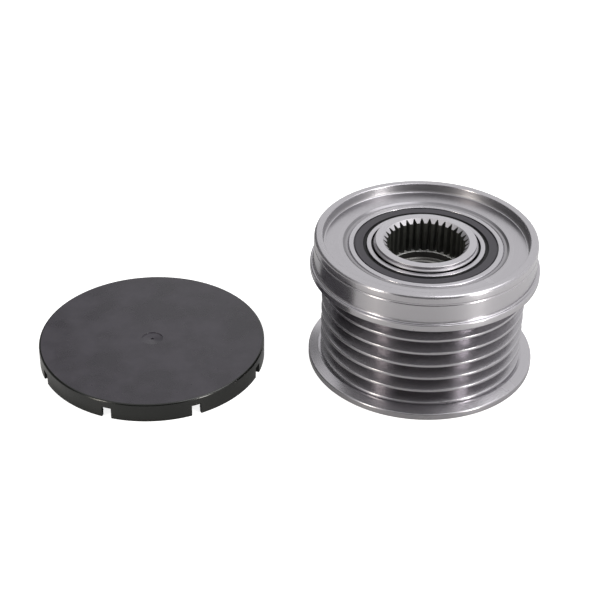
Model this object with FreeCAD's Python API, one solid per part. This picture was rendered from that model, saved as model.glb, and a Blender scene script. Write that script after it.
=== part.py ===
# Overrunning alternator pulley with its dust cap, in millimetres.
# The origin is on the pulley's axis at its rear face, which stands on the ground.
# +Z points to the spline end.
import FreeCAD, Part
import math
import os
from FreeCAD import Vector

# Belt track of the pulley ring, for a six-rib belt
groove_count = 6
groove_pitch = 3.56
groove_angle = 40.0
track_wall = 6.05
crest_width = 0.62
crest_round = 0.16
groove_root_width = 0.7
groove_root_round = 0.3
edge_notch_width = 0.22
edge_notch_depth = 0.5

# Rear flange and front head of the pulley ring
flange_edge = 1.65
flange_slope = 14.0
flange_root_step = 0.55
flange_height = 2.4
head_height = 2.4
head_gap = 0.7
head_band = 1.75
shoulder_width = 0.85
collar_height = 7.2
collar_fillet = 0.35
rim_round = 0.7
edge_round = 0.3
snap_groove_drop = 2.2
snap_groove_width = 0.5
snap_groove_depth = 0.25

# Recess in the front of the pulley ring
rim_wall = 2.05
floor_depth = 2.3
floor_fillet = 0.65
floor_lip_slope = 0.5
ledge_width = 1.35
ledge_drop = 0.35
bore_mouth = 0.4

# Ball bearings, one at each end of the pulley
bearing_section = 6.0
bearing_width = 7.0
bearing_chamfer = 0.3
race_bore_round = 0.5
front_bearing_drop = 0.2
rear_bearing_inset = 1.0
ball_count = 15
ball_clearance = 0.04
raceway_conformity = 1.04
outer_land_wall = 1.9
inner_land_wall = 1.6

# Ball cages, whose horns clip over the balls
ball_cage_outer_gap = 0.45
ball_cage_inner_gap = 0.75
ball_cage_back_wall = 0.48
ball_cage_seal_gap = 0.45
ball_cage_lip = 0.9
ball_pocket_clearance = 0.12
ball_cage_slot = 1.1

# Bearing seals
seal_seat_step = 0.6
seal_lip_width = 0.9
seal_thickness = 0.6
seal_inset = 0.1
seal_lip_inset = 0.3
seal_lip_clearance = 0.05
seal_seat_clearance = 0.15

# Hub with its shaft thread and tool spline
hub_wall = 2.35
nose_step = 0.4
nose_height = 1.2
nose_round = 0.35
journal_chamfer = 0.3
journal_proud = 0.5
spline_teeth = 33
spline_minor_r = 9.3
spline_tooth_height = 0.85
spline_tip_share = 0.375
spline_gap_share = 0.125
spline_lead_in = 1.0
spline_length = 8.8
spline_ledge = 0.3
socket_height = 1.7
socket_floor_slope = 12.0
thread_minor_r = 7.19
thread_mouth_width = 0.81
thread_mouth_height = 0.9
pilot_r = 8.5
pilot_length = 7.0
pilot_chamfer = 0.4

# One-way roller clutch between the bearings
clutch_race_wall = 1.2
roller_count = 8
roller_r = 1.5
roller_end_space = 2.3
roller_clearance = 0.03
wedge_angle = 4.56
cam_end_gap = 0.3
cage_cam_clearance = 0.1
cage_race_clearance = 0.2
cage_bar_clearance = 0.15
roller_end_clearance = 0.2
spring_space = 2.2
spring_strip = 0.15
spring_folds = 4
spring_seat_gap = 0.05
spring_end_space = 1.5
spring_height = 1.7

# Dust cap, taken off and lying beside the pulley with its open side down
cap_x = -66.05
cap_y = -1.95
cap_clearance = 0.1
cap_wall = 0.87
cap_height = 4.8
cap_top = 1.2
cap_round = 0.5
cap_bead_height = 0.2
cap_bead_width = 0.8
cap_slot_count = 8
cap_slot_width = 2.35
cap_slot_height = 2.85
cap_slot_phase = 27.0
gate_r = 2.55
gate_depth = 0.2
gate_pit_r = 0.4
gate_pit_depth = 0.2
gate_x = 0.1
gate_y = -0.5

# Radii worked out from the sizes above, from the balls and the tool spline outwards
ball_cage_back = bearing_width / 2 - seal_inset - seal_thickness - ball_cage_seal_gap
ball_pocket_r = ball_cage_back - ball_cage_back_wall
ball_r = ball_pocket_r - ball_pocket_clearance
spline_major_r = spline_minor_r + spline_tooth_height
socket_r = spline_minor_r - spline_ledge
thread_mouth_r = thread_minor_r + thread_mouth_width
bearing_bore_r = spline_major_r + hub_wall
nose_r = bearing_bore_r - nose_step
bearing_outer_r = bearing_bore_r + bearing_section
ball_circle_r = (bearing_bore_r + bearing_outer_r) / 2
raceway_r = ball_r * raceway_conformity
inner_land_r = bearing_bore_r + inner_land_wall
outer_land_r = bearing_outer_r - outer_land_wall
seal_lip_r = inner_land_r + seal_lip_width
seal_outer_r = outer_land_r + seal_seat_step
crest_r = bearing_outer_r + track_wall
flange_root_r = crest_r + flange_root_step
flange_r = flange_root_r + flange_height
head_r = flange_root_r + head_height
collar_r = head_r - shoulder_width
rim_inner_r = collar_r - rim_wall
ledge_r = bearing_outer_r + ledge_width
floor_lip_r = ledge_r + floor_lip_slope

# Heights worked out from the sizes above
flange_root_z = flange_edge + flange_height * math.tan(math.radians(flange_slope))
first_crest_z = flange_root_z + edge_notch_width + crest_width / 2
top_crest_z = first_crest_z + groove_count * groove_pitch
head_bottom_z = top_crest_z + crest_width / 2 + head_gap
head_root_z = head_bottom_z - head_height * math.tan(math.radians(flange_slope)) / 2
shoulder_z = head_bottom_z + head_band
rim_z = shoulder_z + collar_height
floor_z = rim_z - floor_depth
ledge_z = floor_z - ledge_drop
front_face_z = floor_z - front_bearing_drop
rear_face_z = rear_bearing_inset
clutch_low_z = rear_face_z + bearing_width
clutch_high_z = front_face_z - bearing_width
nose_z = front_face_z + nose_height
seal_seat_depth = seal_inset + seal_thickness + seal_seat_clearance

# Clutch sizes worked out from the sizes above
clutch_race_r = bearing_outer_r - clutch_race_wall
roller_circle_r = clutch_race_r - roller_r - roller_clearance
cam_flat_r = roller_circle_r * math.cos(math.radians(wedge_angle)) - roller_r - roller_clearance
roller_flat_r = cam_flat_r + roller_clearance + roller_r
roller_offset = roller_circle_r * math.sin(math.radians(wedge_angle))
roller_middle_z = (clutch_low_z + clutch_high_z) / 2
cage_outer_r = clutch_race_r - cage_race_clearance
roller_length = clutch_high_z - clutch_low_z - 2 * roller_end_space
spring_width = roller_length - 2 * spring_end_space

UP = Vector(0, 0, 1)


# A solid turned about Z from the corners (r, z) of its half section; a third value rounds that corner
def turned(corners):
    count = len(corners)
    points = [Vector(corner[0], 0, corner[1]) for corner in corners]
    entries, middles, leaves = [], [], []
    for i, point in enumerate(points):
        radius = corners[i][2] if len(corners[i]) > 2 else 0
        back = (points[i - 1] - point).normalize()
        ahead = (points[(i + 1) % count] - point).normalize()
        half = back.getAngle(ahead) / 2
        setback = radius / math.tan(half)
        entries.append(point + back * setback)
        leaves.append(point + ahead * setback)
        inward = (back + ahead).normalize() if radius else back
        middles.append(point + inward * (radius / math.sin(half) - radius))
    edges = []
    for i in range(count):
        if leaves[i - 1].distanceToPoint(entries[i]) > 1e-6:
            edges.append(Part.makeLine(leaves[i - 1], entries[i]))
        if entries[i].distanceToPoint(leaves[i]) > 1e-6:
            edges.append(Part.Arc(entries[i], middles[i], leaves[i]).toShape())
    return Part.Face(Part.Wire(edges)).revolve(Vector(0, 0, 0), UP, 360)


def ring(inner_r, outer_r, low_z, high_z):
    return turned([(inner_r, low_z), (outer_r, low_z), (outer_r, high_z), (inner_r, high_z)])


# The same solid turned to each of a number of evenly spaced places about Z
def around(shape, count, phase=0.0):
    copies = []
    for i in range(count):
        copy = shape.copy()
        copy.rotate(Vector(0, 0, 0), UP, phase + i * 360 / count)
        copies.append(copy)
    return copies


def save(node, shape):
    shape.exportStep(f"parts/{node}.step")


# The V grooves between the crests, from the lowest crest to the top one
def belt_track():
    flank_width = (groove_pitch - crest_width - groove_root_width) / 2
    root_r = crest_r - flank_width / math.tan(math.radians(groove_angle / 2))
    corners = []
    for i in range(groove_count):
        crest_top_z = first_crest_z + i * groove_pitch + crest_width / 2
        corners.append((crest_r, crest_top_z, crest_round))
        corners.append((root_r, crest_top_z + flank_width, groove_root_round))
        corners.append((root_r, crest_top_z + flank_width + groove_root_width, groove_root_round))
        corners.append((crest_r, crest_top_z + groove_pitch - crest_width, crest_round))
    return corners


def pulley_ring():
    snap_z = rim_z - snap_groove_drop
    snap_r = collar_r - snap_groove_depth
    notch_r = crest_r - edge_notch_depth
    return turned([
        (bearing_outer_r + bore_mouth, 0),
        (flange_r, 0, edge_round),
        (flange_r, flange_edge, edge_round),
        (flange_root_r, flange_root_z),
        (notch_r, flange_root_z),
        (crest_r, first_crest_z - crest_width / 2, crest_round),
        *belt_track(),
        (crest_r, top_crest_z + crest_width / 2, crest_round),
        (notch_r, head_root_z),
        (flange_root_r, head_root_z),
        (head_r, head_bottom_z, edge_round),
        (head_r, shoulder_z, edge_round),
        (collar_r, shoulder_z, collar_fillet),
        (collar_r, snap_z - snap_groove_width / 2),
        (snap_r, snap_z - snap_groove_width / 2),
        (snap_r, snap_z + snap_groove_width / 2),
        (collar_r, snap_z + snap_groove_width / 2),
        (collar_r, rim_z, rim_round),
        (rim_inner_r, rim_z, edge_round),
        (rim_inner_r, floor_z, floor_fillet),
        (floor_lip_r, floor_z, edge_round / 2),
        (ledge_r, ledge_z),
        (bearing_outer_r + bore_mouth, ledge_z),
        (bearing_outer_r, ledge_z - bore_mouth),
        (bearing_outer_r, bore_mouth),
    ])


# One bearing, with its rear face at the given height, as a dictionary of its pieces
def ball_bearing(low_z):
    high_z = low_z + bearing_width
    middle_z = low_z + bearing_width / 2
    outer_groove_r = ball_circle_r + ball_r + ball_clearance - raceway_r
    inner_groove_r = ball_circle_r - ball_r - ball_clearance + raceway_r
    middle = Vector(0, 0, middle_z)

    outer_race = turned([
        (seal_outer_r, low_z),
        (bearing_outer_r, low_z, bearing_chamfer),
        (bearing_outer_r, high_z, bearing_chamfer),
        (seal_outer_r, high_z),
        (seal_outer_r, high_z - seal_seat_depth),
        (outer_land_r, high_z - seal_seat_depth),
        (outer_land_r, low_z + seal_seat_depth),
        (seal_outer_r, low_z + seal_seat_depth),
    ])
    inner_race = turned([
        (bearing_bore_r, low_z, race_bore_round),
        (inner_land_r, low_z),
        (inner_land_r, high_z),
        (bearing_bore_r, high_z, race_bore_round),
    ])
    pieces = {
        "outer_race": outer_race.cut(Part.makeTorus(outer_groove_r, raceway_r, middle, UP)),
        "inner_race": inner_race.cut(Part.makeTorus(inner_groove_r, raceway_r, middle, UP)),
        "ball_cage": ball_cage(middle_z),
        "upper_seal": seal(high_z, -1),
        "lower_seal": seal(low_z, 1),
    }
    ball = Part.makeSphere(ball_r, Vector(ball_circle_r, 0, middle_z))
    for i, one_ball in enumerate(around(ball, ball_count)):
        pieces[f"ball_{i + 1}"] = one_ball
    return pieces


# A crown cage: a ring behind the balls with a round pocket for each and slots that let its horns spread
def ball_cage(middle_z):
    inner_r = inner_land_r + ball_cage_inner_gap
    outer_r = outer_land_r - ball_cage_outer_gap
    body = ring(inner_r, outer_r, middle_z - ball_cage_back, middle_z + ball_cage_lip)
    pocket = Part.makeSphere(ball_pocket_r, Vector(ball_circle_r, 0, middle_z))
    slot = Part.makeBox(
        outer_r,
        ball_cage_slot,
        ball_cage_back + ball_cage_lip,
        Vector(0, -ball_cage_slot / 2, middle_z - ball_cage_lip),
    )
    cuts = around(pocket, ball_count) + around(slot, ball_count, 180 / ball_count)
    return body.cut(cuts)


# A seal seated in the outer race at a face, with its lip over the inner race; the side is the way inwards
def seal(face_z, side):
    lip_r = inner_land_r + seal_lip_clearance
    outside_z = face_z + side * seal_inset
    lip_z = face_z + side * seal_lip_inset
    inside_z = outside_z + side * seal_thickness
    return turned([
        (lip_r, lip_z),
        (seal_lip_r - seal_lip_inset + seal_inset, lip_z),
        (seal_lip_r, outside_z),
        (seal_outer_r, outside_z),
        (seal_outer_r, inside_z),
        (lip_r, inside_z),
    ])


# The outline of the socket between the teeth, as a prism to cut from the hub
def spline_socket(low_z, high_z):
    pitch = 2 * math.pi / spline_teeth
    points = []
    for i in range(spline_teeth):
        for radius, share in ((spline_minor_r, spline_tip_share), (spline_major_r, spline_gap_share)):
            centre = pitch * (i if radius == spline_minor_r else i + 0.5)
            for side in (-0.5, 0.5):
                angle = centre + side * share * pitch
                points.append(Vector(radius * math.cos(angle), radius * math.sin(angle), low_z))
    outline = Part.makePolygon(points + points[:1])
    return Part.Face(outline).extrude(Vector(0, 0, high_z - low_z))


def hub():
    spline_low_z = nose_z - spline_length
    socket_low_z = spline_low_z - socket_height
    mouth_z = socket_low_z - (socket_r - thread_mouth_r) * math.tan(math.radians(socket_floor_slope))
    body = turned([
        (pilot_r + pilot_chamfer, 0),
        (bearing_bore_r - journal_chamfer, 0),
        (bearing_bore_r, journal_chamfer),
        (bearing_bore_r, front_face_z + journal_proud - journal_chamfer),
        (bearing_bore_r - journal_chamfer, front_face_z + journal_proud),
        (nose_r, front_face_z + journal_proud),
        (nose_r, nose_z, nose_round),
        (spline_minor_r + spline_lead_in, nose_z),
        (spline_minor_r, nose_z - spline_lead_in),
        (spline_minor_r, spline_low_z),
        (socket_r, spline_low_z),
        (socket_r, socket_low_z),
        (thread_mouth_r, mouth_z),
        (thread_minor_r, mouth_z - thread_mouth_height),
        (thread_minor_r, pilot_length + pilot_r - thread_minor_r),
        (pilot_r, pilot_length),
        (pilot_r, pilot_chamfer),
    ])
    return body.cut(spline_socket(spline_low_z, nose_z + spline_lead_in))


# A prism with flat sides about Z, one for each roller
def flat_sided(flat_r, low_z, high_z):
    corner_r = flat_r / math.cos(math.pi / roller_count)
    points = []
    for i in range(roller_count + 1):
        angle = (i + 0.5) * 2 * math.pi / roller_count
        points.append(Vector(corner_r * math.cos(angle), corner_r * math.sin(angle), low_z))
    return Part.Face(Part.makePolygon(points)).extrude(Vector(0, 0, high_z - low_z))


def clutch_cam():
    bore = Part.makeCylinder(bearing_bore_r, clutch_high_z - clutch_low_z, Vector(0, 0, clutch_low_z))
    return flat_sided(cam_flat_r, clutch_low_z, clutch_high_z).cut(bore)


# The rollers' cage, keyed on the cam's flats, with one window for each roller and its spring
def roller_cage():
    low_z = clutch_low_z + cam_end_gap
    high_z = clutch_high_z - cam_end_gap
    body = Part.makeCylinder(cage_outer_r, high_z - low_z, Vector(0, 0, low_z))
    key = flat_sided(cam_flat_r + cage_cam_clearance, low_z, high_z)
    window_start = roller_offset - roller_r - spring_space - spring_seat_gap
    window_end = roller_offset + roller_r + cage_bar_clearance
    window_length = roller_length + 2 * roller_end_clearance
    window = Part.makeBox(
        cage_outer_r - cam_flat_r + roller_r,
        window_end - window_start,
        window_length,
        Vector(cam_flat_r - roller_r, window_start, roller_middle_z - window_length / 2),
    )
    return body.cut([key] + around(window, roller_count))


def roller():
    low_z = roller_middle_z - roller_length / 2
    return Part.makeCylinder(roller_r, roller_length, Vector(roller_flat_r, roller_offset, low_z))


# One folded leaf spring, filling the window behind its roller; the group node holds one for each roller
def roller_spring():
    far_y = roller_offset - roller_r - spring_space + spring_strip / 2
    near_y = roller_offset - roller_r - spring_seat_gap - spring_strip / 2
    middle_x = (cam_flat_r + cage_outer_r) / 2
    low_z = roller_middle_z - spring_width / 2
    step_y = (near_y - far_y) / spring_folds
    points = []
    for i in range(spring_folds + 1):
        side = 0.5 if i % 2 else -0.5
        points.append(Vector(middle_x + side * spring_height, far_y + i * step_y, low_z))
    path = Part.makePolygon(points)
    strip = path.makeOffset2D(spring_strip / 2, join=2, fill=True, openResult=True)
    return strip.extrude(Vector(0, 0, spring_width))


def dust_cap():
    inner_r = collar_r + cap_clearance
    outer_r = inner_r + cap_wall
    under_z = cap_height - cap_top
    bead_z = under_z - snap_groove_drop
    body = turned([
        (0, under_z),
        (inner_r, under_z),
        (inner_r, bead_z + cap_bead_width / 2),
        (inner_r - cap_bead_height, bead_z),
        (inner_r, bead_z - cap_bead_width / 2),
        (inner_r, 0),
        (outer_r, 0),
        (outer_r, cap_height, cap_round),
        (0, cap_height),
    ])
    slot = Part.makeBox(
        2 * (cap_wall + cap_bead_height),
        cap_slot_width,
        cap_slot_height + cap_wall,
        Vector(inner_r - 2 * cap_bead_height, -cap_slot_width / 2, -cap_wall),
    )
    gate_z = cap_height - gate_depth
    gate = Part.makeCylinder(gate_r, cap_top, Vector(gate_x, gate_y, gate_z))
    gate_pit = Part.makeCylinder(gate_pit_r, cap_top, Vector(gate_x, gate_y, gate_z - gate_pit_depth))
    cap = body.cut(around(slot, cap_slot_count, cap_slot_phase) + [gate, gate_pit])
    cap.translate(Vector(cap_x, cap_y, 0))
    return cap


os.makedirs("parts", exist_ok=True)

save("pulley_ring", pulley_ring())
save("hub", hub())
save("dust_cap", dust_cap())
for end, low_z in (("front", front_face_z - bearing_width), ("rear", rear_face_z)):
    for piece, shape in ball_bearing(low_z).items():
        save(f"{end}_{piece}", shape)

save("clutch_race", ring(clutch_race_r, bearing_outer_r, clutch_low_z, clutch_high_z))
save("clutch_cam", clutch_cam())
save("roller_cage", roller_cage())
save("roller_springs", Part.makeCompound(around(roller_spring(), roller_count)))
for i, one_roller in enumerate(around(roller(), roller_count)):
    save(f"roller_{i + 1}", one_roller)
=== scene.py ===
import math

import bmesh
import bpy
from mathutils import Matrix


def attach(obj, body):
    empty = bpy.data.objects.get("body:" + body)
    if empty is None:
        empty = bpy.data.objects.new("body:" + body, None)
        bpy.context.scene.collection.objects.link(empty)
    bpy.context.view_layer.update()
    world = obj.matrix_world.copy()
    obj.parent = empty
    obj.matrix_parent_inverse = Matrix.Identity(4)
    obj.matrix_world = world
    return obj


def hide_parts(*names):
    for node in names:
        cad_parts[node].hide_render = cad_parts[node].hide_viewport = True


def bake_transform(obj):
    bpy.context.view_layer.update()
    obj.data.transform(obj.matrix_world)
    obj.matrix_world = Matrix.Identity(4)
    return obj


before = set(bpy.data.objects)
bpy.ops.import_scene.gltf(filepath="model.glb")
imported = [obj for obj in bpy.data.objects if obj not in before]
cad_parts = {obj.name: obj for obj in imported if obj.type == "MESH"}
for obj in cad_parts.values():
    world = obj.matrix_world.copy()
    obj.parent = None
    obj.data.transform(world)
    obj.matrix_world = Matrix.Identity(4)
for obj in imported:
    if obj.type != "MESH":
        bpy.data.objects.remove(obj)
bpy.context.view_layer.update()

mm = 0.001  # every size below is in mm and every angle in degrees, unless a note says otherwise
samePlace = 1e-4  # points of a section that are nearer than this are one
mergeGap = 1e-7  # in metres, points nearer than this are merged
smoothAngle = 38  # sharper edges stay sharp
capPlace = (-66.05, -1.95)  # the middle of the dust cap that lies beside the pulley


# Picking and lathe work

def startClean():
    active = bpy.context.object
    if active and active.mode != "OBJECT":
        bpy.ops.object.mode_set(mode="OBJECT")
    bpy.ops.object.select_all(action="DESELECT")


def takeUp(piece):  # makes it the one piece that the next operators act on
    startClean()
    bpy.context.view_layer.objects.active = piece
    piece.select_set(True)


def pick(piece, wanted):  # selects the points of the open mesh that pass the test
    mesh = bmesh.from_edit_mesh(piece.data)
    for face in mesh.faces:
        face.select = False
    for edge in mesh.edges:
        edge.select = False
    for point in mesh.verts:
        point.select = bool(wanted(point.co / mm))
    mesh.select_flush(True)
    bmesh.update_edit_mesh(piece.data)


def applyModifier(piece, kind, settings):
    takeUp(piece)
    modifier = piece.modifiers.new("step", kind)
    for key, value in settings.items():
        setattr(modifier, key, value)
    bpy.ops.object.modifier_apply(modifier=modifier.name)


def combine(piece, operation, tool):  # cuts the piece with a tool's shape, and takes the tool away
    applyModifier(piece, "BOOLEAN", {"operation": operation, "object": tool, "solver": "EXACT"})
    bpy.data.objects.remove(tool)


def drawLine(name, points):  # a new piece, open for editing, that is one line through the points
    startClean()
    bpy.ops.mesh.primitive_plane_add(size=mm)
    piece = bpy.context.object
    piece.name = piece.data.name = name
    bpy.ops.object.mode_set(mode="EDIT")
    bpy.ops.mesh.select_all(action="SELECT")
    bpy.ops.mesh.merge(type="CENTER")
    bpy.ops.transform.translate(value=[place * mm for place in points[0]])
    for last, here in zip(points, points[1:]):
        step = [(new - old) * mm for old, new in zip(last, here)]
        bpy.ops.mesh.extrude_region_move(TRANSFORM_OT_translate={"value": step})
    return piece


def closeMesh():  # merges doubles, turns the faces outwards and ends the editing
    bpy.ops.mesh.select_all(action="SELECT")
    bpy.ops.mesh.remove_doubles(threshold=mergeGap)
    bpy.ops.mesh.normals_make_consistent(inside=False)
    bpy.ops.object.mode_set(mode="OBJECT")


def setback(corners, i):  # how far from its corner a rounding starts
    here, back, ahead = corners[i], corners[i - 1], corners[(i + 1) % len(corners)]
    turnBack = math.atan2(back[1] - here[1], back[0] - here[0])
    turnAhead = math.atan2(ahead[1] - here[1], ahead[0] - here[0])
    between = abs(turnBack - turnAhead)
    return here[2] / math.tan(min(between, 2 * math.pi - between) / 2)


def sweepSection(name, corners, steps, arcs=3):  # corners are (radius, height) or (radius, height, rounding)
    piece = drawLine(name, [(corner[0], 0, corner[1]) for corner in corners])
    if corners[0][0] > 0:  # a ring closes on itself, a disc ends on the axis
        ends = (corners[0], corners[-1])
        pick(piece, lambda p: any(math.hypot(p.x - c[0], p.z - c[1]) < samePlace for c in ends))
        bpy.ops.mesh.edge_face_add()
    for i, corner in enumerate(corners):
        if len(corner) > 2:
            pick(piece, lambda p: math.hypot(p.x - corner[0], p.z - corner[1]) < samePlace)
            bpy.ops.mesh.bevel(offset=setback(corners, i) * mm, segments=arcs, affect="VERTICES")
    bpy.ops.mesh.select_all(action="SELECT")
    bpy.ops.mesh.spin(steps=steps, angle=2 * math.pi, center=(0, 0, 0), axis=(0, 0, 1))
    closeMesh()
    return piece


def finishPiece(piece, body, finish, nodes=()):
    takeUp(piece)
    bpy.ops.object.transform_apply(location=True, rotation=True, scale=True)
    bpy.ops.object.shade_smooth_by_angle(angle=math.radians(smoothAngle))
    applyModifier(piece, "WEIGHTED_NORMAL", {"keep_sharp": True})
    piece.data.materials.clear()
    piece.data.materials.append(finish)
    if body:  # a spring has none, because it blends between two
        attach(piece, body)
    if nodes:
        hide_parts(*nodes)


# Shader maths

class Wire:  # one socket of a material, so that sums on it read as sums
    def __init__(self, tree, socket=None):
        self.tree, self.socket = tree, socket

    def add(self, kind, settings=None, sockets=None, output=0):  # any node: type, settings, values or links
        node = self.tree.nodes.new(kind)
        for key, value in (settings or {}).items():
            setattr(node, key, value)
        for key, value in (sockets or {}).items():
            if isinstance(value, Wire):
                self.tree.links.new(value.socket, node.inputs[key])
            else:
                node.inputs[key].default_value = value
        return Wire(self.tree, node.outputs[output] if node.outputs else None)

    def also(self, output):  # another output of the same node
        return Wire(self.tree, self.socket.node.outputs[output])

    def maths(self, operation, *values):
        return self.add("ShaderNodeMath", {"operation": operation}, dict(enumerate(values)))

    def __add__(self, other): return self.maths("ADD", self, other)
    def __radd__(self, other): return self.maths("ADD", other, self)
    def __sub__(self, other): return self.maths("SUBTRACT", self, other)
    def __rsub__(self, other): return self.maths("SUBTRACT", other, self)
    def __mul__(self, other): return self.maths("MULTIPLY", self, other)
    def __rmul__(self, other): return self.maths("MULTIPLY", other, self)
    def __lt__(self, other): return self.maths("LESS_THAN", self, other)
    def __gt__(self, other): return self.maths("GREATER_THAN", self, other)

    def clouds(self, scale, detail):  # soft noise at this place
        return self.add("ShaderNodeTexNoise", {"noise_dimensions": "3D"},
                        {"Vector": self, "Scale": scale, "Detail": detail})

    def lines(self, scale, detail):  # noise along this value
        return self.add("ShaderNodeTexNoise", {"noise_dimensions": "1D"},
                        {"W": self, "Scale": scale, "Detail": detail})

    def ramp(self, low, high):  # 0 at low, 1 at high
        return self.add("ShaderNodeMapRange", {"clamp": True},
                        {"Value": self, "From Min": low, "From Max": high})

    def between(self, first, second):  # a colour between two, by this value
        ends = (colour if isinstance(colour, Wire) else (*colour, 1) for colour in (first, second))
        sockets = dict(zip((0, 6, 7), (self, *ends)))
        return self.add("ShaderNodeMix", {"data_type": "RGBA"}, sockets, output=2)

    def towards(self, mask, goal):  # this value, and the goal where the mask is 1
        return self + mask * (goal - self)

    def apart(self):  # the three numbers of a place
        numbers = self.add("ShaderNodeSeparateXYZ", None, {0: self})
        return [numbers.also(i) for i in range(3)]


def emptyTree(holder):  # clears the nodes of a material or world, and gives the wire that adds new ones
    holder.use_nodes = True
    holder.node_tree.nodes.clear()
    return Wire(holder.node_tree)


def newFinish(name):  # where a point of the surface is, and a function that ends the finish in one shader
    material = bpy.data.materials.new(name)
    start = emptyTree(material)

    def end(sockets, relief, depth, strength):
        sockets["Normal"] = start.add("ShaderNodeBump", None, {
            "Height": relief, "Distance": depth * mm, "Strength": strength})
        shader = start.add("ShaderNodeBsdfPrincipled", None, sockets)
        start.add("ShaderNodeOutputMaterial", None, {"Surface": shader})
        return material
    return start.add("ShaderNodeTexCoord", output="Object"), end


def roundPlace(where, middle=(0, 0)):  # the radius from an upright axis, and the height
    x, y, height = where.apart()
    x, y = x - middle[0] * mm, y - middle[1] * mm
    return where.maths("SQRT", x * x + y * y), height


def within(value, low, high):  # 1 between two sizes, else 0
    return (value > low * mm) * (value < high * mm)


def inZone(zone, radius, height):  # 1 where both are in the zone, else 0
    return within(radius, *zone["radius"]) * within(height, *zone["height"])


# Finishes

turning = {  # what both finishes of turned steel share
    "smudgeScale": 90, "smudgeEnds": (0.35, 0.7), "cornerEnds": (0.5, 0.62), "coarseLines": 6,
    "smudgeShade": 0.25, "coarseShade": 0.3, "ringShade": 0.35, "cornerShade": 0.2,
    "smudgeRough": 0.04, "ringRough": 0.04, "cornerRough": 0.08, "drawnTurn": 0.25, "bump": 1,
}
steelLook = {
    "dark": (0.40, 0.389, 0.41), "light": (0.50, 0.486, 0.512), "rough": 0.2,
    "drawn": 0.75, "lines": 0.2, "lineDepth": 0.004,
    "paintedShadeZones": (
        {"radius": (20, 24.3), "height": (2.4, 24), "rough": 0,  # painted shade in the belt grooves
         "dark": (0.345, 0.334, 0.354), "light": (0.43, 0.417, 0.44)},
        {"radius": (18.6, 19.2), "height": (31.2, 31.6), "rough": 0.06,  # painted shade on the ledge round the front bearing
         "dark": (0.29, 0.28, 0.295), "light": (0.35, 0.34, 0.36)},
        {"radius": (19.2, 19.84), "height": (31.2, 31.79), "rough": 0.06,  # painted shade on the step down to the ledge
         "dark": (0.2, 0.194, 0.206), "light": (0.27, 0.262, 0.28)},
        {"radius": (24.1, 24.9), "height": (31.9, 33.8), "rough": 0.22,  # painted shade on the recess's wall
         "dark": (0.29, 0.282, 0.296), "light": (0.35, 0.342, 0.36)},
    ),
}
raceLook = {
    "dark": (0.44, 0.43, 0.455), "light": (0.53, 0.515, 0.545), "rough": 0.2,
    "drawn": 0.7, "lines": 0.12, "lineDepth": 0.003,
    "paintedShadeZones": (
        {"radius": (12.4, 13.03), "height": (30.6, 31.55), "rough": 0.2,  # painted shade in the gap beside the hub's nose
         "dark": (0.011, 0.011, 0.012), "light": (0.014, 0.014, 0.015)},
    ),
}


def turnedSteel(name, look):  # fine lathe rings, faint smudges, worn corners, and zones of painted shade
    where, end = newFinish(name)
    radius, height = roundPlace(where)
    rings = (radius + height).lines(1 / (look["lines"] * mm), detail=3)
    coarse = (radius - height).lines(1 / (turning["coarseLines"] * look["lines"] * mm), detail=1)
    smudge = where.clouds(turning["smudgeScale"], detail=3)
    corner = where.add("ShaderNodeNewGeometry", output="Pointiness").ramp(*turning["cornerEnds"])
    shade = where.maths("MINIMUM", turning["smudgeShade"] * smudge + turning["coarseShade"] * coarse
                        + turning["ringShade"] * rings + turning["cornerShade"] * corner, 1)
    colour = shade.between(look["dark"], look["light"])
    rough = (look["rough"] + turning["smudgeRough"] * smudge.ramp(*turning["smudgeEnds"])
             + turning["ringRough"] * rings + turning["cornerRough"] * corner)
    # each zone darkens the colour: painted shade in a hollow, on a step or in a gap
    for zone in look["paintedShadeZones"]:
        inside = inZone(zone, radius, height)
        colour = inside.between(colour, shade.between(zone["dark"], zone["light"]))
        rough = rough + inside * zone["rough"]
    return end({"Base Color": colour, "Metallic": 1, "Roughness": rough, "Anisotropic": look["drawn"],
                "Anisotropic Rotation": turning["drawnTurn"]}, rings, look["lineDepth"], turning["bump"])


print("finishes")
ringSteel = turnedSteel("turnedRingSteel", steelLook)
raceSteel = turnedSteel("groundRaceSteel", raceLook)

hubLook = {
    "dark": (0.46, 0.45, 0.475), "light": (0.54, 0.525, 0.555), "rough": 0.2,
    # the black crust on the spline also paints in the deep socket's shade; the colour below the spline is
    # painted shade; the pale colour at the teeth's feet is a painted highlight on the ledge; the colour of
    # the gap beside the journal is painted shade
    "black": (0.030, 0.031, 0.029), "blackEdge": (0.075, 0.078, 0.07), "blackRough": 0.34,
    "deepShade": (0.20, 0.196, 0.19), "deepShadeRough": 0.22, "foot": (0.85, 0.85, 0.84), "footRough": 0.6,
    "joint": (0.012, 0.012, 0.013), "chamferRough": 0.5, "noseRough": 0.38,
    "wallMargin": 0.1, "chamferMargin": 1, "pilotMargin": 1, "blackMargin": 0.03, "footDrop": 0.06,
    "jointTop": 0.02, "jointDepth": 0.8, "noseEdge": 0.05,  # how far the zones reach past the hub's own edges
    "lines": 0.2, "smudgeScale": 140, "crustScale": 900, "smudgeShade": 0.6, "ringShade": 0.4,
    "smudgeRough": 0.08, "crustRough": 0.2, "blackDulls": 0.5, "socketDulls": 0.3,
    "crustHeight": 2, "lineDepth": 0.008, "bump": 0.5,
}


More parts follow.
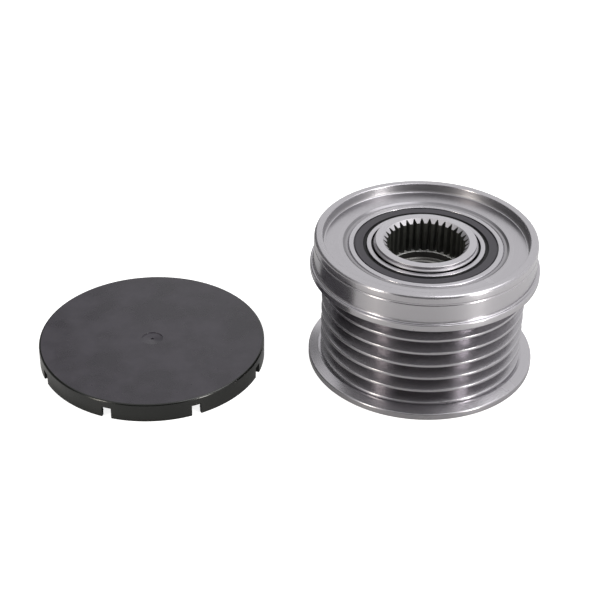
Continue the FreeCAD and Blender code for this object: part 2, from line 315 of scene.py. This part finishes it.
def hubFinish(look, hub):  # bare faces; a nearly black crust on the spline teeth that also paints in the deep socket's shade; a painted highlight on the ledge at their feet; painted shade below the spline and in the gap beside the journal
    where, end = newFinish("hubSteel")
    radius, height = roundPlace(where)
    rings = (radius + height).lines(1 / (look["lines"] * mm), detail=3)
    smudge = where.clouds(look["smudgeScale"], detail=3)
    crust = where.clouds(look["crustScale"], detail=3)
    chamferFoot = hub["noseHeight"] - hub["leadIn"] - hub["toothTip"] - look["blackMargin"]
    footTop, footLow = hub["splineFoot"] + look["blackMargin"], hub["splineFoot"] - look["footDrop"]
    aboveFoot, belowFoot = height > footTop * mm, height < footLow * mm
    inSocket = radius < (hub["toothRoot"] + look["wallMargin"]) * mm
    onJournal = hub["journal"] + look["wallMargin"]
    # the spline's nearly black crust, which also paints in the deep socket's shade
    crustAndShade = ((height - radius) < chamferFoot * mm) * aboveFoot * inSocket
    # painted shade deep in the socket below the spline
    deepShade = belowFoot * (height > (hub["pilotLength"] + look["pilotMargin"]) * mm) * inSocket
    # a painted highlight on the ledge at the teeth's feet
    foot = within(height, footLow, footTop) * inSocket
    # painted shade in the gap between the journal and the inner race
    joint = inZone({"radius": (hub["journal"] - look["wallMargin"], onJournal), "height": (
        hub["frontFace"] - look["jointDepth"], hub["frontFace"] - look["jointTop"])}, radius, height)
    leadIn = (height > (hub["noseHeight"] - hub["leadIn"] - look["chamferMargin"]) * mm) * (
        radius < (hub["toothTip"] + hub["leadIn"]) * mm)
    socket = within(height, hub["splineFoot"] - hub["socketStep"], footLow) * inSocket
    noseWall = inZone({"radius": (hub["nose"] - look["wallMargin"], onJournal), "height": (
        hub["frontFace"], hub["noseHeight"] - look["noseEdge"])}, radius, height)
    colour = (look["smudgeShade"] * smudge + look["ringShade"] * rings).between(look["dark"], look["light"])
    rough = look["rough"] + look["smudgeRough"] * smudge
    rough = rough.towards(leadIn, look["chamferRough"]).towards(noseWall, look["noseRough"])
    blackPaint = crust.between(look["black"], look["blackEdge"])
    blackGloss = look["blackRough"] + look["crustRough"] * crust
    # the spline's crust with painted shade, painted shade below it, a painted highlight on the ledge, painted
    # shade in the journal's gap
    for mask, paint, gloss in (
        (crustAndShade, blackPaint, blackGloss), (deepShade, look["deepShade"], look["deepShadeRough"]),
        (foot, look["foot"], look["footRough"]), (joint, look["joint"], look["blackRough"]),
    ):
        colour = mask.between(colour, paint)
        rough = rough.towards(mask, gloss)
    metal = 1 - look["blackDulls"] * crustAndShade - look["socketDulls"] * socket
    relief = rings * (1 - crustAndShade) + look["crustHeight"] * crust * crustAndShade
    return end({"Base Color": colour, "Metallic": metal, "Roughness": rough},
               relief, look["lineDepth"], look["bump"])


plainLook = {"cloudScale": 700, "cloudRough": 0.08, "cloudDepth": 0.004, "bump": 0.3}


def plainSteel(name, dark, light, rough):
    where, end = newFinish(name)
    cloud = where.clouds(plainLook["cloudScale"], detail=3)
    rough = rough + plainLook["cloudRough"] * cloud
    return end({"Base Color": cloud.between(dark, light), "Metallic": 1, "Roughness": rough},
               cloud, plainLook["cloudDepth"], plainLook["bump"])


ballSteel = plainSteel("ballSteel", (0.56, 0.56, 0.57), (0.64, 0.64, 0.65), 0.06)
springSteel = plainSteel("springSteel", (0.30, 0.31, 0.34), (0.42, 0.42, 0.44), 0.22)

moulding = {  # what all the moulded finishes share
    "cloudEnds": (0.38, 0.64), "cloudShade": 0.75, "grainShade": 0.25,
    "roughEnds": (0.3, 0.75), "cloudRough": 0.14, "rubbing": 4, "rubEnds": (0.45, 0.75), "rubShine": 0.05,
    "cloudHeight": 0.5, "bump": 0.4,
}


def moulded(name, look):  # plastic or rubber with a fine grain and soft patches, and zones of painted shade with another gloss
    where, end = newFinish(name)
    radius, height = roundPlace(where, look["middle"])
    grain = where.clouds(1 / (look["grain"] * mm), detail=2)
    cloud = where.clouds(1 / (look["cloud"] * mm), detail=4)
    rub = where.clouds(moulding["rubbing"] / (look["cloud"] * mm), detail=2).ramp(*moulding["rubEnds"])
    colour = (moulding["cloudShade"] * cloud.ramp(*moulding["cloudEnds"])
              + moulding["grainShade"] * grain).between(look["dark"], look["light"])
    rough = (look["rough"] + moulding["cloudRough"] * cloud.ramp(*moulding["roughEnds"])
             - moulding["rubShine"] * rub)
    # each zone paints shade: a darker colour with another gloss
    for zone in look["paintedShadeZones"]:
        inside = inZone(zone, radius, height)
        colour = inside.between(colour, zone["shade"])
        rough = rough.towards(inside, zone["rough"])
    return end({"Metallic": 0, "Base Color": colour, "Roughness": rough},
               grain + moulding["cloudHeight"] * cloud, look["grainDepth"], moulding["bump"])


capPlastic = moulded("capPlastic", {
    "dark": (0.012, 0.0090, 0.0165), "light": (0.034, 0.0290, 0.0405), "rough": 0.24,
    "grain": 0.3, "grainDepth": 0.003, "cloud": 7, "middle": capPlace,
    "paintedShadeZones": ({"radius": (20, 30), "height": (-1, 4.795),  # painted shade: a darker rounded edge and wall below the top face
               "shade": (0.0024, 0.0030, 0.0022), "rough": 0.17},)})
sealRubber = moulded("sealRubber", {
    "dark": (0.021, 0.018, 0.026), "light": (0.034, 0.030, 0.041), "rough": 0.36,
    "grain": 0.12, "grainDepth": 0.008, "cloud": 3, "middle": (0, 0),
    "paintedShadeZones": ({"radius": (0, 14.96), "height": (0, 40),  # painted shade on the lip, which sits sunk between the race and the seal's face
               "shade": (0.004, 0.004, 0.005), "rough": 0.75},)})
cagePlastic = moulded("cagePlastic", {
    "dark": (0.30, 0.22, 0.12), "light": (0.40, 0.31, 0.18), "rough": 0.4,
    "grain": 0.2, "grainDepth": 0.006, "cloud": 4, "middle": (0, 0), "paintedShadeZones": ()})


# The pulley ring

ring = {
    "grooves": 6, "pitch": 3.56, "grooveAngle": 40, "crest": 24.55, "crestWidth": 0.62, "crestRound": 0.16,
    "rootWidth": 0.7, "rootRound": 0.3, "notchWidth": 0.22, "notchDepth": 0.5,
    "flange": 27.5, "flangeEdge": 1.65, "flangeRoot": 25.1, "slope": 14, "slopeRound": 0.12, "edgeRound": 0.3,
    "head": 27.5, "headGap": 0.7, "headBand": 1.75,
    "collar": 26.65, "collarHeight": 7.2, "collarFillet": 0.35, "rimRound": 0.7, "innerRound": 0.3,
    "snapDrop": 2.2, "snapWidth": 0.6, "snapDepth": 0.14, "snapRound": 0.12,
    "rimInner": 24.6, "floorDrop": 2.3, "floorFillet": 0.65, "floorLip": 19.8,
    "ledge": 19.25, "ledgeDrop": 0.35, "ledgeFillet": 0.08, "bore": 18.5, "boreMouth": 0.15,
    "mouthRound": 0.04, "steps": 256,
}


def ringCorners(r):
    slope = math.tan(math.radians(r["slope"]))
    flangeRootHeight = r["flangeEdge"] + (r["flange"] - r["flangeRoot"]) * slope
    firstCrest = flangeRootHeight + r["notchWidth"] + r["crestWidth"] / 2
    topCrest = firstCrest + r["grooves"] * r["pitch"]
    headBottom = topCrest + r["crestWidth"] / 2 + r["headGap"]
    headRootHeight = headBottom - (r["head"] - r["flangeRoot"]) * slope / 2  # half as steep as the flange
    shoulder = headBottom + r["headBand"]
    rim = shoulder + r["collarHeight"]
    floor = rim - r["floorDrop"]
    ledge = floor - r["ledgeDrop"]
    snap = rim - r["snapDrop"]
    snapFoot = r["collar"] - r["snapDepth"]
    flank = (r["pitch"] - r["crestWidth"] - r["rootWidth"]) / 2
    root = r["crest"] - flank / math.tan(math.radians(r["grooveAngle"] / 2))
    corners = [
        (r["bore"] + r["boreMouth"], 0), (r["flange"], 0, r["edgeRound"]),
        (r["flange"], r["flangeEdge"], r["edgeRound"]), (r["flangeRoot"], flangeRootHeight, r["slopeRound"]),
        (r["crest"] - r["notchDepth"], flangeRootHeight),
        (r["crest"], firstCrest - r["crestWidth"] / 2, r["crestRound"]),
    ]
    for i in range(r["grooves"]):
        crestTop = firstCrest + i * r["pitch"] + r["crestWidth"] / 2
        corners += [
            (r["crest"], crestTop, r["crestRound"]), (root, crestTop + flank, r["rootRound"]),
            (root, crestTop + flank + r["rootWidth"], r["rootRound"]),
            (r["crest"], crestTop + r["pitch"] - r["crestWidth"], r["crestRound"]),
        ]
    return corners + [
        (r["crest"], topCrest + r["crestWidth"] / 2, r["crestRound"]),
        (r["crest"] - r["notchDepth"], headRootHeight), (r["flangeRoot"], headRootHeight, r["slopeRound"]),
        (r["head"], headBottom, r["edgeRound"]), (r["head"], shoulder, r["edgeRound"]),
        (r["collar"], shoulder, r["collarFillet"]), (r["collar"], snap - r["snapWidth"] / 2, r["snapRound"]),
        (snapFoot, snap - r["snapWidth"] / 4, r["snapRound"]),
        (snapFoot, snap + r["snapWidth"] / 4, r["snapRound"]),
        (r["collar"], snap + r["snapWidth"] / 2, r["snapRound"]), (r["collar"], rim, r["rimRound"]),
        (r["rimInner"], rim, r["innerRound"]), (r["rimInner"], floor, r["floorFillet"]),
        (r["floorLip"], floor, r["edgeRound"] / 2), (r["ledge"], ledge, r["ledgeFillet"]),
        (r["bore"] + r["boreMouth"], ledge, r["mouthRound"]), (r["bore"], ledge - r["boreMouth"]),
        (r["bore"], r["boreMouth"]),
    ]


print("pulley ring")
ringPiece = sweepSection("beltRing", ringCorners(ring), ring["steps"])
finishPiece(ringPiece, "pulley", ringSteel, ["pulley_ring"])
ringTop = max(corner[1] for corner in ringCorners(ring))


# The two ball bearings' races and seals

bearing = {
    "width": 7.0, "outer": 18.5, "bore": 12.5, "chamfer": 0.3, "outerLand": 16.6, "innerLand": 14.1,
    "racewayRound": 1.82, "outerRacewayMiddle": 15.47, "innerRacewayMiddle": 15.53, "racewaySteps": 8,
    "sealSeat": 17.2, "sealSeatDepth": 0.85, "seatRound": 0.12, "landRound": 0.2, "landFrontRound": 0.12,
    "boreGap": 0.5, "boreGapDepth": 0.7, "boreGapRound": 0.08,
    "sealLip": 14.95, "sealInset": 0.1, "sealThickness": 0.7, "sealEdge": 0.3, "sealEdgeDrop": 0.35,
    "sealRound": 0.1, "lipInset": 0.6, "lipSlope": 0.1, "lipClearance": 0.05, "lipRound": 0.04,
    "lipFillet": 0.06, "rearLow": 1.0, "frontDrop": 0.2, "steps": 192,
}
frontFace = ringTop - ring["floorDrop"] - bearing["frontDrop"]  # the front bearing's upper face


def raceway(b, land, middleRadius, low, outward):  # the groove that the balls run in, as points along its arc
    middle = low + b["width"] / 2
    half = math.acos(abs(land - middleRadius) / b["racewayRound"])
    points = []
    for i in range(b["racewaySteps"] + 1):
        turn = half * (1 - 2 * i / b["racewaySteps"])
        points.append((middleRadius + outward * b["racewayRound"] * math.cos(turn),
                       middle + b["racewayRound"] * math.sin(turn)))
    return points


def outerRace(b, low):
    high = low + b["width"]
    return [
        (b["sealSeat"], low, b["seatRound"]), (b["outer"], low, b["chamfer"]),
        (b["outer"], high, b["chamfer"]), (b["sealSeat"], high, b["seatRound"]),
        (b["sealSeat"], high - b["sealSeatDepth"]), (b["outerLand"], high - b["sealSeatDepth"]),
        *raceway(b, b["outerLand"], b["outerRacewayMiddle"], low, 1),
        (b["outerLand"], low + b["sealSeatDepth"]), (b["sealSeat"], low + b["sealSeatDepth"]),
    ]


def innerRace(b, low):
    high = low + b["width"]
    return [
        (b["bore"], low, b["chamfer"]), (b["innerLand"], low, b["landRound"]),
        *reversed(raceway(b, b["innerLand"], b["innerRacewayMiddle"], low, -1)),
        (b["innerLand"], high, b["landFrontRound"]), (b["bore"] + b["boreGap"], high, b["boreGapRound"]),
        (b["bore"] + b["boreGap"], high - b["boreGapDepth"]), (b["bore"], high - b["boreGapDepth"]),
    ]


def seal(b, face, inward):  # inward is 1 or -1, up or down from the bearing's face
    lip = b["innerLand"] + b["lipClearance"]
    outside, inside = face + inward * b["sealInset"], face + inward * (b["sealInset"] + b["sealThickness"])
    lipFace = face + inward * b["lipInset"]
    edge, edgeFace = b["sealSeat"] - b["sealEdge"], outside + inward * b["sealEdgeDrop"]
    return [
        (lip, lipFace, b["lipRound"]), (b["sealLip"] - b["lipSlope"], lipFace, b["lipFillet"]),
        (b["sealLip"], outside, b["sealRound"]), (edge, outside, b["sealRound"]), (edge, edgeFace),
        (b["sealSeat"], edgeFace), (b["sealSeat"], inside), (lip, inside),
    ]


print("bearings")
for end, low in (("front", frontFace - bearing["width"]), ("rear", bearing["rearLow"])):
    high = low + bearing["width"]
    for name, corners, body, finish, slot in (
        ("outer_race", outerRace(bearing, low), "pulley", raceSteel, "bearing_steel"),
        ("inner_race", innerRace(bearing, low), "hub", raceSteel, "bearing_steel"),
        ("upper_seal", seal(bearing, high, -1), "pulley", sealRubber, "seal_rubber"),
        ("lower_seal", seal(bearing, low, 1), "pulley", sealRubber, "seal_rubber"),
    ):
        piece = sweepSection(f"{end}_{name}_turned", corners, bearing["steps"])
        finishPiece(piece, body, finish, [f"{end}_{name}"])


# The hub, its spline and its shaft thread

hub = {
    "teeth": 33, "columns": 8, "toothTip": 9.3, "toothRoot": 10.15, "leadIn": 1.0, "splineLength": 8.8,
    "gapColumns": (((2, 5), 0.5), ((3, 4), 1.0)),  # which columns of each tooth sink, and by what share
    "socketWall": 9.0, "socketStep": 1.7, "socketRound": 0.08, "floorSlope": 12, "floorFillet": 0.1,
    "nose": 12.1, "noseRise": 1.2, "noseRound": 0.12, "edgeRound": 0.06,
    "journal": 12.5, "journalProud": 0.5, "journalChamfer": 0.3,
    "pilot": 8.5, "pilotLength": 7.0, "pilotChamfer": 0.4,
    "threadCore": 7.19, "threadRoot": 8.0, "threadPitch": 1.5, "threadMouth": 0.9, "threadCrest": 0.125,
    "threadFoot": 0.47, "threadSink": 0.06, "threadSpare": 0.1, "ridgeSteps": 64, "threadSteps": 96,
}
hub["frontFace"] = frontFace
hub["noseHeight"] = hub["frontFace"] + hub["noseRise"]
hub["splineFoot"] = hub["noseHeight"] - hub["splineLength"]
hub["mouthTop"] = hub["splineFoot"] - hub["socketStep"] - (
    hub["socketWall"] - hub["threadRoot"]) * math.tan(math.radians(hub["floorSlope"]))


def hubCorners(h):
    shoulder = h["frontFace"] + h["journalProud"]
    return [
        (h["pilot"] + h["pilotChamfer"], 0), (h["journal"] - h["journalChamfer"], 0, h["edgeRound"]),
        (h["journal"], h["journalChamfer"], h["edgeRound"]),
        (h["journal"], shoulder - h["journalChamfer"], h["edgeRound"]),
        (h["journal"] - h["journalChamfer"], shoulder, h["edgeRound"]),
        (h["nose"], shoulder), (h["nose"], h["noseHeight"], h["noseRound"]),
        (h["toothTip"] + h["leadIn"], h["noseHeight"]), (h["toothTip"], h["noseHeight"] - h["leadIn"]),
        (h["toothTip"], h["splineFoot"]), (h["socketWall"], h["splineFoot"], h["socketRound"]),
        (h["socketWall"], h["splineFoot"] - h["socketStep"], h["floorFillet"]),
        (h["threadRoot"], h["mouthTop"], h["edgeRound"]),
        (h["threadRoot"], h["pilotLength"] + h["pilot"] - h["threadRoot"]),
        (h["pilot"], h["pilotLength"], h["edgeRound"]), (h["pilot"], h["pilotChamfer"]),
    ]


def cutSpline(piece, h):  # sinks the gap columns of the socket's wall between the tooth tips
    columnTurn = 2 * math.pi / (h["teeth"] * h["columns"])
    takeUp(piece)
    bpy.ops.object.mode_set(mode="EDIT")
    depth = h["toothRoot"] - h["toothTip"]
    mouth = h["noseHeight"] - h["leadIn"]
    for columns, share in h["gapColumns"]:
        outward = (h["toothTip"] + share * depth) / h["toothTip"]
        for level, rise in ((h["splineFoot"], 0), (mouth, share * depth)):
            pick(piece, lambda p: abs(p.z - level) < samePlace
                 and abs(math.hypot(p.x, p.y) - h["toothTip"]) < samePlace
                 and round(math.atan2(p.y, p.x) / columnTurn) % h["columns"] in columns)
            bpy.ops.transform.resize(value=(outward, outward, 1), center_override=(0, 0, 0))
            bpy.ops.transform.translate(value=(0, 0, rise * mm))
    bpy.ops.mesh.select_all(action="SELECT")
    bpy.ops.transform.rotate(value=-0.5 * columnTurn, orient_axis="Z", center_override=(0, 0, 0))
    bpy.ops.object.mode_set(mode="OBJECT")


print("hub")
hubSteel = hubFinish(hubLook, hub)
hubPiece = sweepSection("splinedHub", hubCorners(hub), hub["teeth"] * hub["columns"])
cutSpline(hubPiece, hub)
finishPiece(hubPiece, "hub", hubSteel, ["hub"])


def shaftThread(h):  # one ridge wound up the bore, kept inside the bore's chamfers
    crest, foot = h["threadCrest"] * h["threadPitch"], h["threadFoot"] * h["threadPitch"]
    back = h["threadRoot"] + h["threadSpare"]
    section = [(h["threadCore"], -crest), (h["threadCore"], crest), (h["threadRoot"], foot),
               (back, foot), (back, -foot), (h["threadRoot"], -foot)]
    startClean()
    bpy.ops.mesh.primitive_circle_add(vertices=len(section), radius=mm, fill_type="NGON")
    ridge = bpy.context.object
    for point, (radius, height) in zip(ridge.data.vertices, section):
        point.co = (radius * mm, 0, height * mm)
    turns = int((h["mouthTop"] - h["pilotLength"]) / h["threadPitch"]) + 2
    applyModifier(ridge, "SCREW", {
        "axis": "Z", "angle": 2 * math.pi, "screw_offset": h["threadPitch"] * mm, "iterations": turns,
        "steps": h["ridgeSteps"], "render_steps": h["ridgeSteps"]})
    bpy.ops.object.mode_set(mode="EDIT")
    bpy.ops.mesh.select_all(action="SELECT")
    bpy.ops.transform.translate(value=(0, 0, (h["pilotLength"] - h["threadPitch"]) * mm))
    closeMesh()
    low = h["pilotLength"] + h["pilot"]  # where the foot's chamfer would meet the axis
    outer, inner = h["threadRoot"] + h["threadSink"], h["threadCore"] - h["threadSpare"]
    bore = sweepSection("shaftThread", [
        (outer, low - outer), (inner, low - h["threadCore"] + h["threadSpare"]),
        (inner, h["mouthTop"] - h["threadMouth"]), (h["threadRoot"], h["mouthTop"]), (outer, h["mouthTop"])],
        h["threadSteps"])
    combine(bore, "INTERSECT", ridge)
    return bore


print("shaft thread")
finishPiece(shaftThread(hub), "hub", hubSteel)


# The dust cap

cap = {
    "place": capPlace, "inner": 26.75, "wall": 0.87, "height": 4.8, "top": 1.2, "round": 0.5,
    "innerFillet": 0.25, "footInner": 0.06, "footOuter": 0.08, "arcs": 4,
    "beadDrop": 2.2, "beadRise": 0.2, "beadWidth": 0.8, "beadRound": 0.15,
    "slots": 8, "slotWidth": 2.35, "slotHeight": 2.85, "slotSpare": 2, "firstSlot": 27,
    "gate": 2.55, "gateDepth": 0.2, "gateRound": 0.05, "gatePit": 0.4, "gatePitDepth": 0.2, "pitRound": 0.04,
    "gateShift": (0.1, -0.5, 0), "gateReach": (0.1, 0.6), "steps": 240,
}


def capCorners(c):
    under, outer = c["height"] - c["top"], c["inner"] + c["wall"]
    bead = under - c["beadDrop"]
    gateFloor = c["height"] - c["gateDepth"]
    return [
        (0, under), (c["inner"], under, c["innerFillet"]), (c["inner"], bead + c["beadWidth"] / 2),
        (c["inner"] - c["beadRise"], bead, c["beadRound"]), (c["inner"], bead - c["beadWidth"] / 2),
        (c["inner"], 0, c["footInner"]), (outer, 0, c["footOuter"]), (outer, c["height"], c["round"]),
        (c["gate"], c["height"], c["gateRound"]), (c["gate"], gateFloor, c["gateRound"]),
        (c["gatePit"], gateFloor, c["pitRound"]), (c["gatePit"], gateFloor - c["gatePitDepth"]),
        (0, gateFloor - c["gatePitDepth"]),
    ]


def cutSlots(piece, c):  # through the skirt, from its foot up
    middle = c["inner"] + c["wall"] / 2
    blocks = []
    for i in range(c["slots"]):
        turn = math.radians(c["firstSlot"] + i * 360 / c["slots"])
        startClean()
        bpy.ops.mesh.primitive_cube_add(
            size=mm, location=(middle * math.cos(turn) * mm, middle * math.sin(turn) * mm, 0),
            rotation=(0, 0, turn), scale=(c["slotSpare"] + c["wall"], c["slotWidth"], 2 * c["slotHeight"]))
        blocks.append(bpy.context.object)
    for block in blocks:
        block.select_set(True)
    bpy.context.view_layer.objects.active = blocks[0]
    bpy.ops.object.join()
    combine(piece, "DIFFERENCE", blocks[0])


print("dust cap")
capPiece = sweepSection("coverCap", capCorners(cap), cap["steps"], cap["arcs"])
bpy.ops.object.mode_set(mode="EDIT")
pick(capPiece, lambda p: math.hypot(p.x, p.y) < cap["gate"] + cap["gateReach"][0]
     and p.z > cap["height"] - cap["gateReach"][1])
bpy.ops.transform.translate(value=[shift * mm for shift in cap["gateShift"]])
bpy.ops.object.mode_set(mode="OBJECT")
cutSlots(capPiece, cap)
capPiece.location = (cap["place"][0] * mm, cap["place"][1] * mm, 0)
finishPiece(capPiece, "pulley", capPlastic, ["dust_cap"])


# The rollers' springs, folded strips that close up as the rollers shift

spring = {
    "count": 8, "camFlat": 14.19, "cageOuter": 17.1, "rollerOffset": 1.254, "roller": 1.5, "space": 2.2,
    "strip": 0.15, "foldRound": 0.1, "foldArcs": 4, "folds": 4, "seatGap": 0.05, "height": 1.7, "width": 9.0,
    "middle": 16.3,
}


def foldedSpring(s, index):
    nearY = s["rollerOffset"] - s["roller"] - s["seatGap"] - s["strip"] / 2
    farY = s["rollerOffset"] - s["roller"] - s["space"] + s["strip"] / 2
    middleX = (s["camFlat"] + s["cageOuter"]) / 2
    points = [(middleX + (0.5 if i % 2 else -0.5) * s["height"], farY + i * (nearY - farY) / s["folds"],
               s["middle"] - s["width"] / 2) for i in range(s["folds"] + 1)]
    piece = drawLine(f"foldedSpring_{index + 1}", points)
    pick(piece, lambda p: any(math.hypot(p.x - fold[0], p.y - fold[1]) < samePlace for fold in points[1:-1]))
    bpy.ops.mesh.bevel(offset=s["foldRound"] * mm, segments=s["foldArcs"], affect="VERTICES")
    bpy.ops.mesh.select_all(action="SELECT")
    bpy.ops.mesh.extrude_region_move(TRANSFORM_OT_translate={"value": (0, 0, s["width"] * mm)})
    bpy.ops.mesh.select_all(action="SELECT")
    turn = 2 * math.pi * index / s["count"]
    bpy.ops.transform.rotate(value=-turn, orient_axis="Z", center_override=(0, 0, 0))
    closeMesh()
    applyModifier(piece, "SOLIDIFY", {"thickness": s["strip"] * mm, "offset": 0, "use_even_offset": True})
    finishPiece(piece, None, springSteel, ["roller_springs"])
    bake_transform(piece)


print("springs")
for i in range(spring["count"]):
    foldedSpring(spring, i)


# What stays of the CAD model gets its finish

print("inner pieces")
innerFinishes = {"ball_cage": cagePlastic, "roller_cage": cagePlastic, "ball": ballSteel}
for name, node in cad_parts.items():
    if not node.hide_render:
        finish = next((f for word, f in innerFinishes.items() if word in name), raceSteel)
        for place in node.material_slots:
            place.material = finish


# Floor, light and camera

studio = {  # the floor's side, and all about lamps and cards, are in metres
    "floorSize": 6, "floorDrop": 0.05, "floorShade": 0.80, "floorGlow": 0.85, "floorGloss": 0.5,
    "nearPaintedShadow": 0.7, "near": (45, 75), "rightPaintedLight": 1.25, "right": (10, 60),  # a painted shadow round the pulley and painted light on the right, only as the steel mirrors the floor
    "worldGlow": 0.5, "distance": 0.9, "cardDistance": 0.99,
    "lamps": {
        "leftStrip": {"place": (-50, 20), "size": (0.14, 0.5), "glow": 10.0, "colour": (1, 0.94, 0.82)},
        "rightStrip": {"place": (50, 20), "size": (0.14, 0.5), "glow": 17.5, "colour": (1, 0.98, 0.93)},
        "topLamp": {"place": (105, 68), "size": (0.5, 0.5), "glow": 3.0, "colour": (1, 1, 1)},
    },
    "cards": {
        "frontCard": {"place": (0, 27), "size": (1.25, 1.05), "glow": 0.12},
        "leftCard": {"place": (-115, 24), "size": (1.9, 0.85), "glow": 0.2},
    },
}
view = {  # in metres and degrees
    "place": (-0.02853, -0.32502, 0.23164), "turn": (56.1479, -0.7272, 0.4878), "lens": 94.65, "sensor": 36,
    "clip": (0.01, 20),
}


def rayKinds(start, *names):  # each is 1 for rays of its kind, else 0
    rays = start.add("ShaderNodeLightPath")
    return [rays.also(name) for name in names]


def paleFloor(s):
    startClean()
    bpy.ops.mesh.primitive_plane_add(size=s["floorSize"], location=(0, 0, -s["floorDrop"] * mm))
    floor = bpy.context.object
    floor.name = "paleFloor"
    finish = bpy.data.materials.new("paleFloor")
    start = emptyTree(finish)
    cameraRay, clearRay = rayKinds(start, "Is Camera Ray", "Is Transmission Ray")
    where = start.add("ShaderNodeTexCoord", output="Object")
    aside = where.apart()[0].ramp(*(side * mm for side in s["right"]))
    around = roundPlace(where)[0].ramp(*(size * mm for size in s["near"]))
    # painted shadow near the pulley and painted light towards the right, for all rays but the camera's
    mirrored = (s["nearPaintedShadow"] + (1 - s["nearPaintedShadow"]) * around) * (1 + (s["rightPaintedLight"] - 1) * aside)
    shade = s["floorShade"] * (mirrored + cameraRay * (1 - mirrored))
    grey = start.add("ShaderNodeCombineColor", None, {0: shade, 1: shade, 2: shade})
    pale = start.add("ShaderNodeBsdfPrincipled", None, {
        "Base Color": grey, "Roughness": s["floorGloss"], "Emission Color": (1, 1, 1, 1),
        "Emission Strength": s["floorGlow"] * (cameraRay + clearRay)})
    start.add("ShaderNodeOutputMaterial", None, {"Surface": pale})
    floor.data.materials.append(finish)


def whiteWorld(s):  # white where it is seen or mirrored, and plain soft light elsewhere
    world = bpy.data.worlds.new("studio")
    bpy.context.scene.world = world
    start = emptyTree(world)
    cameraRay, glossyRay, clearRay = rayKinds(start, "Is Camera Ray", "Is Glossy Ray", "Is Transmission Ray")
    seen = start.maths("MINIMUM", cameraRay + glossyRay + clearRay, 1)
    backing = start.add("ShaderNodeBackground", None, {
        "Color": (1, 1, 1, 1), "Strength": s["worldGlow"] + (1 - s["worldGlow"]) * seen})
    start.add("ShaderNodeOutputWorld", None, {"Surface": backing})


def aim(thing, place, distance):  # azimuth 0 is the camera's side, + to the right; the thing faces the pulley
    a, e = (math.radians(turn) for turn in place)
    thing.location = (distance * math.sin(a) * math.cos(e), -distance * math.cos(a) * math.cos(e),
                      distance * math.sin(e))
    thing.rotation_euler = thing.location.to_track_quat("Z", "Y").to_euler()


def softLamp(name, look, distance):
    startClean()
    bpy.ops.object.light_add(type="AREA")
    lamp = bpy.context.object
    lamp.name = name
    lamp.data.shape = "RECTANGLE"
    lamp.data.size, lamp.data.size_y = look["size"]
    lamp.data.energy = look["glow"] * math.pi * look["size"][0] * look["size"][1]
    lamp.data.color = look["colour"]
    lamp.visible_camera = False
    aim(lamp, look["place"], distance)


def greyCard(name, look, distance):  # only the mirrored light of the metal sees it
    startClean()
    bpy.ops.mesh.primitive_plane_add(size=1)
    card = bpy.context.object
    card.name = name
    aim(card, look["place"], distance)
    card.scale = (*look["size"], 1)
    card.visible_camera = card.visible_diffuse = card.visible_shadow = card.visible_transmission = False
    finish = bpy.data.materials.new(name)
    start = emptyTree(finish)
    shine = start.add("ShaderNodeEmission", None, {"Strength": look["glow"]})
    start.add("ShaderNodeOutputMaterial", None, {"Surface": shine})
    card.data.materials.append(finish)


print("floor and light")
paleFloor(studio)
whiteWorld(studio)
for name, look in studio["lamps"].items():
    softLamp(name, look, studio["distance"])
for name, look in studio["cards"].items():
    greyCard(name, look, studio["cardDistance"])

print("camera")
startClean()
bpy.ops.object.camera_add(location=view["place"], rotation=[math.radians(turn) for turn in view["turn"]])
camera = bpy.context.object
camera.data.lens, camera.data.sensor_width = view["lens"], view["sensor"]
camera.data.clip_start, camera.data.clip_end = view["clip"]
bpy.context.scene.camera = camera
bpy.context.scene.view_settings.view_transform = "Standard"
